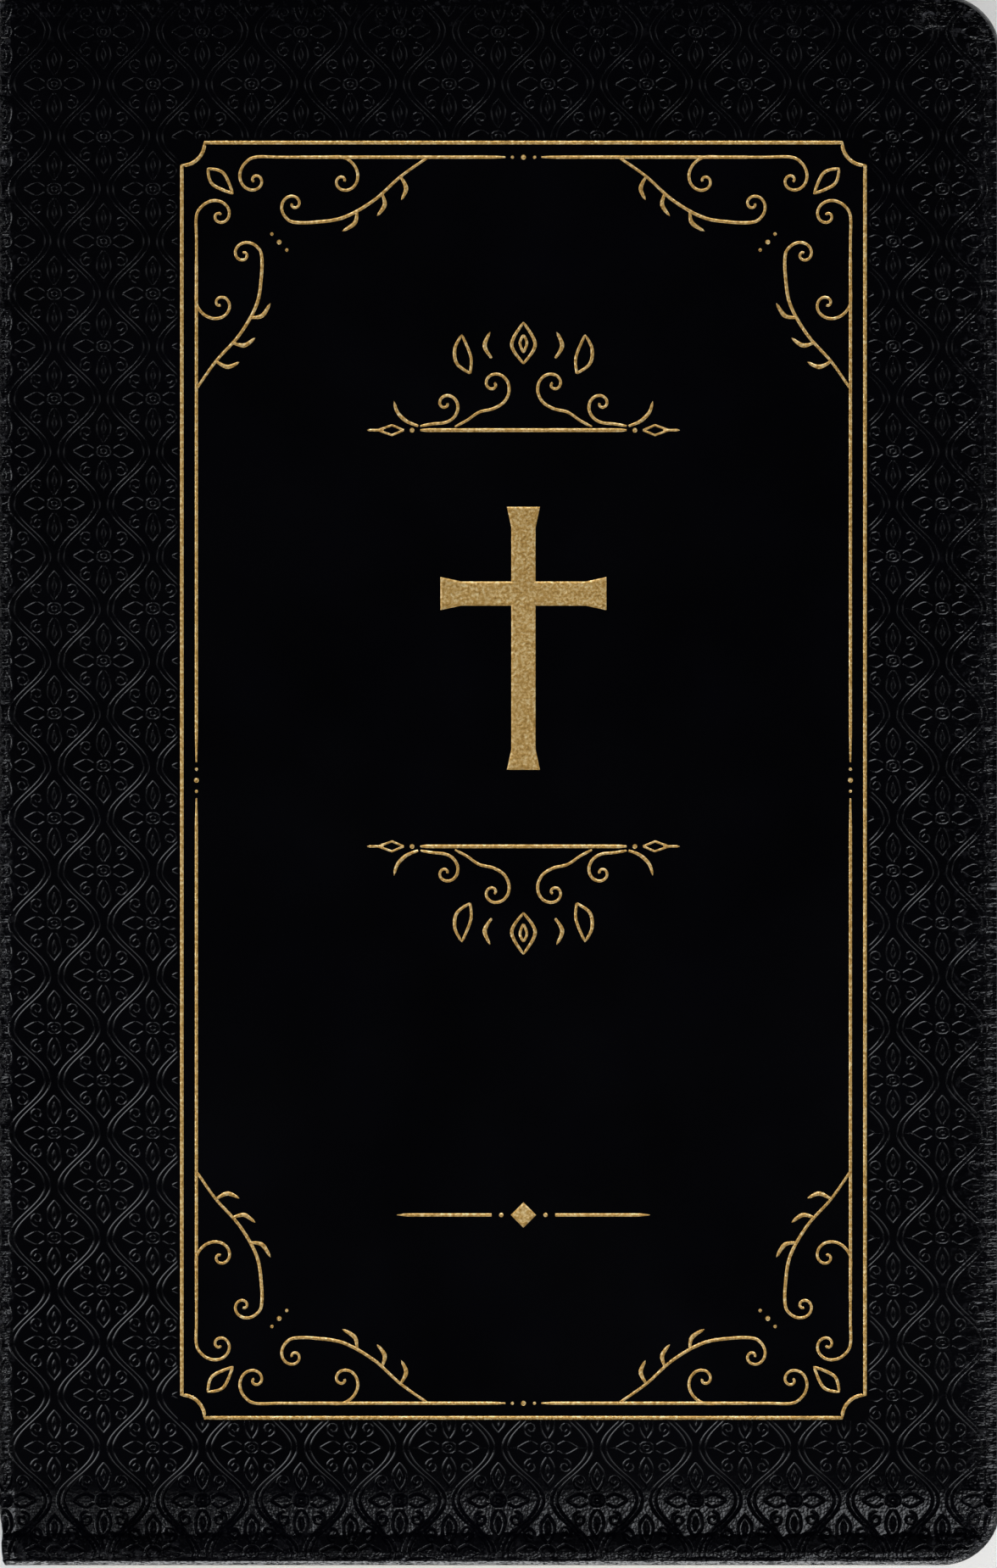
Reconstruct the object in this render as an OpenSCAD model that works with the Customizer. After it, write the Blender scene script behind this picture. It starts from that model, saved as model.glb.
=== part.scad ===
// A leather-bound bible, lying closed on its back cover.
// The spine is at -X, the fore-edge at +X, the head at +Y, and Z runs through the thickness.
// It comes apart as a case of two covers and a flexible spine, and a sewn block of sections.

/* [Book] */
// Width over the covers and the spine
book_w = 144; // [125:1:160]
// Height over the covers
book_h = 227; // [200:1:250]
// Thickness of the closed book
book_t = 34; // [30:1:40]
// Radius of the covers' two corners at the fore-edge
corner_r = 8.5; // [4:0.5:12]
// How far the covers stand out past the leaves
square_w = 3.5; // [2.5:0.5:5]

/* [Covers] */
// Thickness of the leather skin
leather_t = 0.7; // [0.5:0.1:0.8]
// Thickness of the foam under the leather
padding_t = 0.4; // [0.3:0.1:0.5]
// Thickness of the stiff board
board_t = 0.5; // [0.4:0.1:0.6]
// Thickness of the leather folded over the board's edges
turn_in_t = 0.4; // [0.3:0.1:0.5]
// Width of the leather folded over the board's edges
turn_in_w = 14; // [10:1:18]
// Thickness of the endpaper pasted inside each cover
paste_t = 0.2; // [0.1:0.1:0.3]
// Thickness of the gold foil on the front
foil_t = 0.05; // [0.03:0.01:0.1]

/* [Spine] */
// How far the back of the spine bulges
spine_round = 1.7; // [1:0.1:2.5]
// Width of bare leather that bends at each cover's joint
joint_w = 2.3; // [2:0.1:3]

/* [Leaves] */
// Number of sewn sections behind the opening
rear_sections = 7; // [7:1:7]
// Number of sewn sections in front of the opening
front_sections = 6; // [6:1:6]
// Height of the opening above the table, off the middle so that the open covers clear each other
opening_z = 18.3; // [18.3:0.1:19]
// Thickness of the few leaves that lie beside the opening on each side
loose_t = 0.5; // [0.3:0.1:0.6]
// Thickness of each flyleaf, drawn stout enough to be a solid
flyleaf_t = 0.2; // [0.1:0.1:0.2]
// Radius of the leaves' corners at the fore-edge
leaf_r = 7; // [3:0.5:10]

/* [Gold tooling] */
// Width of the double rule round the front
rule_w = 0.5; // [0.3:0.1:0.8]
// Distance between the two rules
rule_gap = 2.1; // [1.5:0.1:3]
// Width of the panel inside the outer rule
panel_w = 98.7; // [80:0.1:104]
// Height of the panel inside the outer rule
panel_h = 184.2; // [150:0.1:190]
// Distance of the panel's centre from the middle of the book, towards the fore-edge
panel_x = 3; // [0:0.1:5]
// Widest part of a scroll's stroke
scroll_w = 1; // [0.6:0.1:1.2]

/* [Hidden] */

eps = 0.01;
gap = 0.15;                                   // clearance between pieces that part when a joint moves
fine = 96;                                    // facets of a visible curve
edge_x = book_w / 2;                          // fore-edge of the covers
corner_x = -edge_x + spine_round;             // spine corners, where the spine meets the covers
plate_x = corner_x + joint_w;                 // spine edge of the stiff part of a cover
cover_t = leather_t + padding_t + board_t + turn_in_t + paste_t;
mid_z = book_t / 2;

// The back of the spine is an arc across the thickness, through both spine corners.
spine_low = cover_t + 0.2;                    // the arc starts clear of the back cover
half_arc = mid_z - spine_low;
spine_r = (half_arc * half_arc + spine_round * spine_round) / (2 * spine_round);
spine_cx = -edge_x + spine_r;
liner_t = 0.55;
mull_t = 0.35;
stitch_r = 0.18;
fold_r = spine_r - leather_t - liner_t - mull_t - 3 * stitch_r;   // arc of the sections' folds

leaf_edge_x = edge_x - square_w;              // fore-edge of the leaves beside the covers
leaf_h = book_h - 2 * square_w;
flyleaf_z = cover_t + gap;                    // the rear flyleaf lies just off the back pastedown
rear_z0 = flyleaf_z + flyleaf_t;
rear_z1 = opening_z - loose_t - 1.5 * gap;
front_z0 = opening_z + loose_t + 1.5 * gap;
front_z1 = book_t - cover_t - 2 * flyleaf_t - 3 * gap;
rear_section_t = (rear_z1 - rear_z0) / rear_sections;
front_section_t = (front_z1 - front_z0) / front_sections;

// Place of the fold of a leaf that lies at height z.
function fold_x(z) = spine_cx - sqrt(fold_r * fold_r - (z - mid_z) * (z - mid_z));
function mid_fold_x() = spine_cx - fold_r;
// The fore-edge is hollow by as much as the spine is round.
function leaf_end_x(z) = leaf_edge_x - spine_round + fold_x(z) - mid_fold_x();
function rear_section_z(i) = rear_z0 + (i - 1) * rear_section_t;
function front_section_z(i) = front_z0 + (i - 1) * front_section_t;

// ---------- outlines ----------

// A page-like outline from x0 to x1, square at the spine and rounded at the fore-edge.
module page_outline(x0, x1, h, r) {
    translate([x0, -h / 2]) square([x1 - x0 - r, h]);
    translate([x1 - r - eps, -h / 2 + r]) square([r + eps, h - 2 * r]);
    for (s = [-1, 1]) translate([x1 - r, s * (h / 2 - r)]) circle(r = r, $fn = fine);
}

// Outline of a cover's layer that stops short of the cover's edges by the inset.
module cover_outline(inset) {
    page_outline(plate_x + inset, edge_x - inset, book_h - 2 * inset, max(corner_r - inset, 1));
}

// One layer of a cover, from depth a to depth b below its outer face.
module layer(a, b, inset) {
    translate([0, 0, a]) linear_extrude(b - a) cover_outline(inset);
}

// Turns depths below the outer face into heights for the back or the front cover.
module on_back() { children(); }
module on_front() { translate([0, 0, book_t]) mirror([0, 0, 1]) children(); }

// ---------- covers ----------

depth_padding = leather_t;
depth_board = depth_padding + padding_t;
depth_turn_in = depth_board + board_t;
depth_paste = depth_turn_in + turn_in_t;
paste_inset = 3;
board_inset = 0.8;

// Leather wrapped round the board's edges and folded in all the way round.
module case_leather(face) {
    difference() {
        layer(face, depth_paste, 0);
        layer(depth_padding, depth_turn_in, board_inset);
        layer(depth_turn_in - eps, depth_paste + eps, turn_in_w);
    }
}
module case_padding() { layer(depth_padding, depth_board, board_inset); }
module case_board() { layer(depth_board, depth_turn_in, board_inset); }
module case_infill() { layer(depth_turn_in, depth_paste, turn_in_w); }
module case_pastedown() { layer(depth_paste, cover_t, paste_inset); }

module back_leather() { color([0.03, 0.03, 0.04]) on_back() case_leather(0); }
module back_padding() { color([0.75, 0.75, 0.72]) on_back() case_padding(); }
module back_board() { color([0.5, 0.45, 0.38]) on_back() case_board(); }
module back_infill() { color([0.6, 0.56, 0.48]) on_back() case_infill(); }
module back_pastedown() { color([0.9, 0.88, 0.82]) on_back() case_pastedown(); }

module front_leather() { color([0.03, 0.03, 0.04]) on_front() case_leather(foil_t); }
module front_padding() { color([0.75, 0.75, 0.72]) on_front() case_padding(); }
module front_board() { color([0.5, 0.45, 0.38]) on_front() case_board(); }
module front_infill() { color([0.6, 0.56, 0.48]) on_front() case_infill(); }
module front_pastedown() { color([0.9, 0.88, 0.82]) on_front() case_pastedown(); }

// ---------- gold tooling on the front ----------

gold = [0.69, 0.55, 0.27];
notch_r = 3.3;                                // quarter-round bite out of each outer corner
break_h = 5.6;                                // break in the middle of each inner rule
dot_r = 0.25;
scroll_reach = 36.3;                          // a corner's scrollwork takes the place of the inner rule
inner_w = panel_w - 2 * rule_gap;
inner_h = panel_h - 2 * rule_gap;

module foil() {
    color(gold) translate([panel_x, 0, book_t - foil_t]) linear_extrude(foil_t) children();
}

// Joins strokes that cross or nearly touch into one clean outline.
module joined() { offset(delta = -0.04) offset(delta = 0.08) children(); }

module rectangle(w, h) { square([w, h], center = true); }

// Outline of the panel with its four bitten corners, grown or shrunk by d.
module bitten_panel(d) {
    difference() {
        rectangle(panel_w + 2 * d, panel_h + 2 * d);
        for (sx = [-1, 1], sy = [-1, 1]) translate([sx * panel_w / 2, sy * panel_h / 2])
            circle(r = notch_r - d, $fn = 48);
    }
}

module foil_outer_rule() {
    foil() difference() {
        bitten_panel(rule_w / 2);
        bitten_panel(-rule_w / 2);
    }
}

module foil_inner_rule() {
    foil() {
        difference() {
            rectangle(inner_w + rule_w, inner_h + rule_w);
            rectangle(inner_w - rule_w, inner_h - rule_w);
            rectangle(break_h, 2 * inner_h);
            rectangle(2 * inner_w, break_h);
            for (sx = [-1, 1], sy = [-1, 1]) translate([sx * panel_w / 2, sy * panel_h / 2])
                rectangle(2 * scroll_reach, 2 * scroll_reach);
        }
        for (s = [-1, 1], k = [-1:1]) {
            translate([s * inner_w / 2, k * 1.6]) circle(r = k == 0 ? 1.4 * dot_r : dot_r, $fn = 24);
            translate([k * 1.6, s * inner_h / 2]) circle(r = k == 0 ? 1.4 * dot_r : dot_r, $fn = 24);
        }
    }
}

// Points of a smooth curve through the given points, with n steps between each pair.
function curve_point(a, b, c, d, t) =
    0.5 * (2 * b + (c - a) * t + (2 * a - 5 * b + 4 * c - d) * t * t
        + (3 * b - a - 3 * c + d) * t * t * t);
function smooth(p, n = 2) = concat(
    [for (i = [0:len(p) - 2], k = [0:n - 1])
        curve_point(p[max(i - 1, 0)], p[i], p[i + 1], p[min(i + 2, len(p) - 1)], k / n)],
    [p[len(p) - 1]]);
// One edge of a stroke that swells in the middle and thins at its ends.
function side(p, w, s) = let (m = len(p) - 1) [for (i = [0:m])
    let (d = p[min(i + 1, m)] - p[max(i - 1, 0)], u = d / norm(d))
    p[i] + s * w / 2 * (0.25 + 0.75 * sin(180 * i / m)) * [-u[1], u[0]]];
function backwards(p) = [for (i = [len(p) - 1:-1:0]) p[i]];

module stroke(points, w = scroll_w) {
    path = smooth(points);
    polygon(concat(side(path, w, 1), backwards(side(path, w, -1))));
}

// Scrollwork that fills a corner: x and y run from the corner of the panel towards its middle.
corner_strokes = [
    [[6.6, 3.8], [6.4, 2.1], [4.4, 4.4], [5, 6.4], [7, 8.9], [10.5, 10.7], [16.1, 12]],
    [[2.2, 16.9], [2.8, 9.1], [5, 8.7], [6.3, 10.7], [4.6, 14.4], [2.3, 17.7], [3.8, 21.8], [5, 22.4]],
    [[5, 22.4], [9.7, 23.1], [12.9, 20], [11.8, 16.5], [9.5, 16.9], [8.4, 18.6]],
    [[4.6, 22.6], [7, 26.3], [6.8, 28.6], [4.2, 32.9], [2.3, 35.7]],
    [[6.8, 27.9], [5, 29], [2.3, 27.7], [3.2, 24.9]],
];
module foil_corners() {
    foil() for (sx = [-1, 1], sy = [-1, 1]) scale([sx, sy, 1])
        translate([-panel_w / 2, -panel_h / 2]) joined() for (m = [0, 1]) mirror([m, -m]) {
            for (s = corner_strokes) stroke(s);
            translate([rule_gap - rule_w / 2, 17]) square([rule_w, scroll_reach - 17.15]);
        }
}

// Right half of the crest: x runs out from the middle and y up from the bar it stands on.
crest_y = 50.6;                               // distance of each crest's bar from the panel's middle
crest_gap = 9.6;
crest_strokes = [
    [[0, 2.9], [2.5, 3.3], [4.5, 4.5], [5.9, 5.9]],
    [[5.9, 6.3], [6.1, 8], [4.9, 11.9], [3.2, 12.5], [1.8, 12.2], [2.1, 9.9], [0.6, 10.4]],
    [[6.8, 6.9], [8.3, 11.8], [7.6, 13.5], [5.7, 14.2]],
    [[7, 6.8], [11.1, 8.7], [13.5, 5.6]],
    [[5, 5.5], [3, 7.5], [2.2, 6.6], [3.3, 5.4]],
    [[7, 6.6], [9.8, 5.3], [8.7, 3.2], [7.1, 4.4], [8.3, 4]],
    [[13, 0.9], [13.3, 3.9], [10.7, 4], [10.9, 1.9], [11.7, 2.1]],
    [[14.5, 0.8], [18.3, 3.3], [19.2, 4.7]],
];
module crest() {
    joined() for (m = [0, 1]) mirror([m, 0]) {
        for (s = crest_strokes) stroke(s);
        translate([-eps, -rule_w / 2]) square([13.2, rule_w]);
    }
}
module foil_headpiece() { foil() translate([0, crest_y]) crest(); }
module foil_tailpiece() { foil() translate([0, -crest_gap]) mirror([0, 1]) crest(); }

// A plain cross and a small divider stand where a title would be.
cross_y = 20.5;
cross_h = 38;
cross_w = 24;
cross_bar = 4.2;
module foil_cross() {
    foil() translate([0, cross_y]) {
        rectangle(cross_bar, cross_h);
        translate([0, cross_h * 0.17]) rectangle(cross_w, cross_bar);
    }
}

divider_y = -62.8;
divider_w = 34;
diamond = 2.6;
module foil_divider() {
    foil() translate([0, divider_y]) {
        rotate(45) rectangle(diamond, diamond);
        for (s = [-1, 1]) translate([s * (divider_w / 4 + diamond), 0])
            rectangle(divider_w / 2 - diamond, rule_w);
    }
}

// ---------- spine ----------

// A curved layer of the spine from radius r0 out to r1, between heights z0 and z1.
module spine_layer(r0, r1, z0, z1, h) {
    intersection() {
        translate([spine_cx, h / 2, mid_z]) rotate([90, 0, 0]) difference() {
            cylinder(h = h, r = r1, $fn = 4 * fine);
            translate([0, 0, -1]) cylinder(h = h + 2, r = r0, $fn = 4 * fine);
        }
        translate([-edge_x - 1, -h / 2 - 1, z0]) cube([spine_r / 3, h + 2, z1 - z0]);
    }
}
liner_r = spine_r - leather_t;
mull_r = liner_r - liner_t;
rear_top = opening_z - gap / 2;
front_bottom = opening_z + gap / 2;
front_top = book_t - spine_low;

module rear_spine_leather() {
    color([0.03, 0.03, 0.04]) spine_layer(liner_r, spine_r, spine_low, rear_top, book_h);
}
module front_spine_leather() {
    color([0.03, 0.03, 0.04]) spine_layer(liner_r, spine_r, front_bottom, front_top, book_h);
}
module rear_spine_liner() {
    color([0.7, 0.62, 0.5]) spine_layer(mull_r, liner_r, spine_low, rear_top, leaf_h + 4);
}
module front_spine_liner() {
    color([0.7, 0.62, 0.5]) spine_layer(mull_r, liner_r, front_bottom, front_top, leaf_h + 4);
}
module rear_mull() {
    color([0.85, 0.83, 0.75]) spine_layer(mull_r - mull_t, mull_r, rear_z0, rear_top, leaf_h - 20);
}
module front_mull() {
    color([0.85, 0.83, 0.75]) spine_layer(mull_r - mull_t, mull_r, front_bottom, front_z1, leaf_h - 20);
}

// Leather strip that bends at a cover's joint, between the spine corner and the stiff cover.
strip_w = joint_w - 0.35;
module joint_strip() {
    translate([corner_x, -book_h / 2, 0.1]) cube([strip_w, book_h, leather_t - 0.1]);
}
module rear_hinge_leather() { color([0.03, 0.03, 0.04]) on_back() joint_strip(); }
module front_hinge_leather() { color([0.03, 0.03, 0.04]) on_front() joint_strip(); }

// Rolled silk bands at the head and the tail of the block.
band_r = 1;
module band(z0, z1, s) {
    translate([fold_x(z0) + 2.2, s * (leaf_h / 2 + band_r), z0]) cylinder(h = z1 - z0, r = band_r, $fn = 32);
}
module rear_headband() { color([0.75, 0.6, 0.2]) band(rear_z0, rear_z1, 1); }
module rear_tailband() { color([0.75, 0.6, 0.2]) band(rear_z0, rear_z1, -1); }
module front_headband() { color([0.75, 0.6, 0.2]) band(front_z0, front_z1, 1); }
module front_tailband() { color([0.75, 0.6, 0.2]) band(front_z0, front_z1, -1); }

// Sewing thread crossing the folds at each sewing station.
stations = [-90, -45, 0, 45, 90];
module stitch(z0, t) {
    for (y = stations) translate([fold_x(z0 + t / 2) - stitch_r, y, z0 + 0.1])
        cylinder(h = t - 0.2, r = stitch_r, $fn = 16);
}
module rear_stitches() {
    color("white") for (i = [1:rear_sections]) stitch(rear_section_z(i), rear_section_t);
}
module front_stitches() {
    color("white") for (i = [1:front_sections]) stitch(front_section_z(i), front_section_t);
}

// ---------- leaves ----------

paper = [0.95, 0.93, 0.87];

// A stack of leaves from height z, t thick.
module leaves(z, t) {
    color(paper) translate([0, 0, z]) linear_extrude(t)
        page_outline(fold_x(z + t / 2), leaf_end_x(z + t / 2), leaf_h, leaf_r);
}
module rear_section(i) { leaves(rear_section_z(i), rear_section_t); }
module front_section(i) { leaves(front_section_z(i), front_section_t); }
module right_leaves() { leaves(opening_z - gap / 2 - loose_t, loose_t); }
module left_leaves() { leaves(opening_z + gap / 2, loose_t); }

// A single leaf next to a cover, tipped on just inside the joint.
module tipped_leaf(z) {
    color([0.9, 0.88, 0.82]) translate([0, 0, z]) linear_extrude(flyleaf_t)
        page_outline(plate_x + 1, leaf_end_x(z), leaf_h, leaf_r);
}
module rear_flyleaf() { tipped_leaf(flyleaf_z); }
module presentation_leaf() { tipped_leaf(front_z1 + gap); }
module front_flyleaf() { tipped_leaf(front_z1 + 2 * gap + flyleaf_t); }

back_leather();
back_padding();
back_board();
back_infill();
back_pastedown();
front_leather();
front_padding();
front_board();
front_infill();
front_pastedown();
foil_outer_rule();
foil_inner_rule();
foil_corners();
foil_headpiece();
foil_tailpiece();
foil_cross();
foil_divider();
rear_hinge_leather();
rear_spine_leather();
rear_spine_liner();
rear_mull();
rear_headband();
rear_tailband();
rear_stitches();
rear_flyleaf();
rear_section(1);  // rear_section_1
rear_section(2);  // rear_section_2
rear_section(3);  // rear_section_3
rear_section(4);  // rear_section_4
rear_section(5);  // rear_section_5
rear_section(6);  // rear_section_6
rear_section(7);  // rear_section_7
front_hinge_leather();
front_spine_leather();
front_spine_liner();
front_mull();
front_headband();
front_tailband();
front_stitches();
front_section(1);  // front_section_1
front_section(2);  // front_section_2
front_section(3);  // front_section_3
front_section(4);  // front_section_4
front_section(5);  // front_section_5
front_section(6);  // front_section_6
right_leaves();
left_leaves();
front_flyleaf();
presentation_leaf();
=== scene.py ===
"""Looks of a leather-bound bible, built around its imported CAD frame."""
import math

import bmesh
import bpy
import numpy as np
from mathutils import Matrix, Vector
from mathutils.geometry import delaunay_2d_cdt


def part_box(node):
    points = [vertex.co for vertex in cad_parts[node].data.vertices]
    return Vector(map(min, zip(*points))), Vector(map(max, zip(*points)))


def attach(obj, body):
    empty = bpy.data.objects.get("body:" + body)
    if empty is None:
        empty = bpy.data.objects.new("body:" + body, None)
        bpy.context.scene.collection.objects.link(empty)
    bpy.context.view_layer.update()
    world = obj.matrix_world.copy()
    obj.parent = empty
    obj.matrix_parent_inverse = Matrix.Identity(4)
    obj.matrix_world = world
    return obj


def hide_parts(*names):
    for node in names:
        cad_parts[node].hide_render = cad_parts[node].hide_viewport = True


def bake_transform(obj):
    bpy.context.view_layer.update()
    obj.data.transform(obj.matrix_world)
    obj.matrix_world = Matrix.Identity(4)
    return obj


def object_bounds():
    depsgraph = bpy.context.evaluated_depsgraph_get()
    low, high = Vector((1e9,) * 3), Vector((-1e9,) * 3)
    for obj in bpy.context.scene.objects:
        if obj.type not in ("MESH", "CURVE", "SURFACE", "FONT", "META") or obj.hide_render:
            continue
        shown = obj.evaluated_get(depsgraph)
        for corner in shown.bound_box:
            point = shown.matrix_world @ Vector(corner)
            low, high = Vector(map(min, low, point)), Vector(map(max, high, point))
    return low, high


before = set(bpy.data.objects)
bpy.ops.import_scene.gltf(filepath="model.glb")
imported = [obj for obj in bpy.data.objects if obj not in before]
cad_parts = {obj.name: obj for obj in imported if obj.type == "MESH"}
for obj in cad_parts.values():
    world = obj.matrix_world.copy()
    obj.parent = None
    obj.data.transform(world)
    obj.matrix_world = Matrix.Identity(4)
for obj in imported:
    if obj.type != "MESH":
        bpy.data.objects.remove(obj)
CAD_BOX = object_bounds()
MM = 0.001
RNG = np.random.default_rng(7)

# ---- sizes from the frame, in mm
box_low, box_high = np.array(CAD_BOX) / MM


def cad_box(node):
    return np.array(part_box(node)) / MM


BOOK_T = box_high[2] - box_low[2]
EDGE_X = box_high[0]
HALF_H = (box_high[1] - box_low[1]) / 2
PLATE_X = cad_box("front_leather")[0][0]
CORNER_X = cad_box("front_hinge_leather")[0][0]
COVER_T = cad_box("back_pastedown")[1][2]
CORNER_R = 8.5
RULE_LOW, RULE_HIGH = cad_box("foil_outer_rule")
RULE_W = 0.5
PANEL_X = (RULE_LOW[0] + RULE_HIGH[0]) / 2
PANEL_W = RULE_HIGH[0] - RULE_LOW[0] - RULE_W
PANEL_H = RULE_HIGH[1] - RULE_LOW[1] - RULE_W
RULE_GAP = 2.1
NOTCH_R = 3.3


# ---- camera, made first
def make_camera():
    """Looks straight down on the closed front cover from far away, as a flatbed scan sees it."""
    view_w, view_h = 144.06, 226.5
    centre = (-0.6, -0.55)
    lens = 250
    data = bpy.data.cameras.new("camera")
    data.type = "PERSP"
    data.sensor_fit = "AUTO"
    data.sensor_width = 36
    data.lens = lens
    data.clip_end = 20
    camera = bpy.data.objects.new("camera", data)
    bpy.context.scene.collection.objects.link(camera)
    distance = view_h * lens / data.sensor_width
    camera.location = (centre[0] * MM, centre[1] * MM, (BOOK_T + distance) * MM)
    bpy.context.scene.camera = camera


make_camera()


# ---- curves and meshes
def smooth(points, steps):
    """Points of a smooth curve through the given ones."""
    p = np.array(points, float)
    last = len(p) - 1
    out = []
    for i in range(last):
        a, b, c, d = p[max(i - 1, 0)], p[i], p[i + 1], p[min(i + 2, last)]
        for k in range(steps):
            t = k / steps
            out.append(0.5 * (2 * b + (c - a) * t + (2 * a - 5 * b + 4 * c - d) * t * t
                              + (3 * b - a - 3 * c + d) * t ** 3))
    out.append(p[last])
    return np.array(out)


def even(path, spacing):
    """The same path with evenly spaced points, at least three of them."""
    run = np.r_[0, np.cumsum(np.linalg.norm(np.diff(path, axis=0), axis=1))]
    count = max(3, int(round(run[-1] / spacing)) + 1)
    at = np.linspace(0, run[-1], count)
    return np.column_stack([np.interp(at, run, path[:, k]) for k in range(path.shape[1])])


def normals_2d(path):
    d = np.gradient(path, axis=0)
    d /= np.maximum(np.linalg.norm(d, axis=1, keepdims=True), 1e-9)
    return np.column_stack([-d[:, 1], d[:, 0]])


def make_object(name, verts, faces, material, smooth_faces=True):
    """A mesh object from points in mm."""
    mesh = bpy.data.meshes.new(name)
    mesh.from_pydata([tuple(v) for v in np.asarray(verts, float) * MM], [], [tuple(f) for f in faces])
    mesh.validate()
    if smooth_faces:
        mesh.polygons.foreach_set("use_smooth", [True] * len(mesh.polygons))
    mesh.update()
    obj = bpy.data.objects.new(name, mesh)
    bpy.context.scene.collection.objects.link(obj)
    mesh.materials.append(material)
    return obj


class Shape:
    """Collects points and faces of one piece."""

    def __init__(self):
        self.verts, self.faces, self.count = [], [], 0

    def add(self, verts, faces):
        verts = np.asarray(verts, float)
        self.verts.append(verts)
        self.faces.extend([tuple(i + self.count for i in f) for f in faces])
        self.count += len(verts)

    def grid(self, rows, close_v=False, flip=False):
        """A surface through equal rows of points."""
        rows = np.asarray(rows, float)
        n, m = rows.shape[:2]
        faces = []
        for i in range(n - 1):
            for k in range(m if close_v else m - 1):
                a, b = i * m + k, i * m + (k + 1) % m
                c, d = b + m, a + m
                faces.append((d, c, b, a) if flip else (a, b, c, d))
        self.add(rows.reshape(-1, 3), faces)

    def cap(self, ring, flip=False):
        """One flat face over a ring of points."""
        order = tuple(range(len(ring)))
        self.add(ring, [order[::-1] if flip else order])

    def points(self):
        return np.concatenate(self.verts)

    def build(self, name, material, smooth_faces=True):
        return make_object(name, self.points(), self.faces, material, smooth_faces)


# ---- materials
def set_stops(ramp, stops):
    """Gives a colour ramp its stops: position and colour."""
    while len(ramp.elements) < len(stops):
        ramp.elements.new(0.5)
    for element, (at, colour) in zip(ramp.elements, stops):
        element.position = at
        element.color = (*colour, 1)


class Nodes:
    """Short forms for making a material's nodes."""

    def __init__(self, name):
        self.material = bpy.data.materials.new(name)
        self.material.use_nodes = True
        self.tree = self.material.node_tree
        self.shader = self.tree.nodes["Principled BSDF"]
        self.place = self.tree.nodes.new("ShaderNodeTexCoord").outputs["Object"]

    def new(self, kind, **settings):
        node = self.tree.nodes.new("ShaderNode" + kind)
        for key, value in settings.items():
            setattr(node, key, value)
        return node

    def link(self, a, b):
        self.tree.links.new(a, b)

    def noise(self, scale, detail=3.0, rough=0.55, stretch=None):
        node = self.new("TexNoise")
        node.inputs["Scale"].default_value = scale
        node.inputs["Detail"].default_value = detail
        node.inputs["Roughness"].default_value = rough
        self.link(self.stretched(stretch), node.inputs["Vector"])
        return node.outputs["Fac"]

    def cells(self, scale):
        node = self.new("TexVoronoi", feature="F1")
        node.inputs["Scale"].default_value = scale
        self.link(self.place, node.inputs["Vector"])
        return node.outputs["Distance"]

    def bands(self, axis, scale, distortion=0.0):
        node = self.new("TexWave", wave_type="BANDS", bands_direction=axis)
        node.inputs["Scale"].default_value = scale
        node.inputs["Distortion"].default_value = distortion
        self.link(self.place, node.inputs["Vector"])
        return node.outputs["Fac"]

    def stretched(self, stretch):
        if stretch is None:
            return self.place
        node = self.new("Mapping")
        node.inputs["Scale"].default_value = stretch
        self.link(self.place, node.inputs["Vector"])
        return node.outputs["Vector"]

    def ramp(self, value, stops):
        node = self.new("ValToRGB")
        set_stops(node.color_ramp, stops)
        self.link(value, node.inputs["Fac"])
        return node.outputs["Color"]

    def levels(self, value, low, high, out_low=0.0, out_high=1.0):
        node = self.new("MapRange")
        for key, number in (("From Min", low), ("From Max", high), ("To Min", out_low), ("To Max", out_high)):
            node.inputs[key].default_value = number
        self.link(value, node.inputs["Value"])
        return node.outputs["Result"]

    def fill(self, slot, value):
        """Sets a socket to a number or a colour, or links another node's socket to it."""
        if isinstance(value, (int, float)):
            slot.default_value = value
        elif isinstance(value, tuple):
            slot.default_value = (*value, 1)
        else:
            self.link(value, slot)

    def math(self, kind, a, b):
        node = self.new("Math", operation=kind)
        for slot, value in zip(node.inputs, (a, b)):
            self.fill(slot, value)
        return node.outputs[0]

    def mix(self, factor, a, b):
        node = self.new("MixRGB")
        for slot, value in zip(node.inputs, (factor, a, b)):
            self.fill(slot, value)
        return node.outputs["Color"]

    def attribute(self, name):
        return self.new("Attribute", attribute_name=name).outputs["Fac"]

    def bump(self, value, depth, strength):
        node = self.new("Bump")
        node.inputs["Strength"].default_value = strength
        node.inputs["Distance"].default_value = depth
        self.link(value, node.inputs["Height"])
        if self.shader.inputs["Normal"].is_linked:
            self.link(self.shader.inputs["Normal"].links[0].from_socket, node.inputs["Normal"])
        self.link(node.outputs["Normal"], self.shader.inputs["Normal"])

    def set(self, **values):
        for key, value in values.items():
            self.fill(self.shader.inputs[key.replace("_", " ")], value)
        return self


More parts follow.
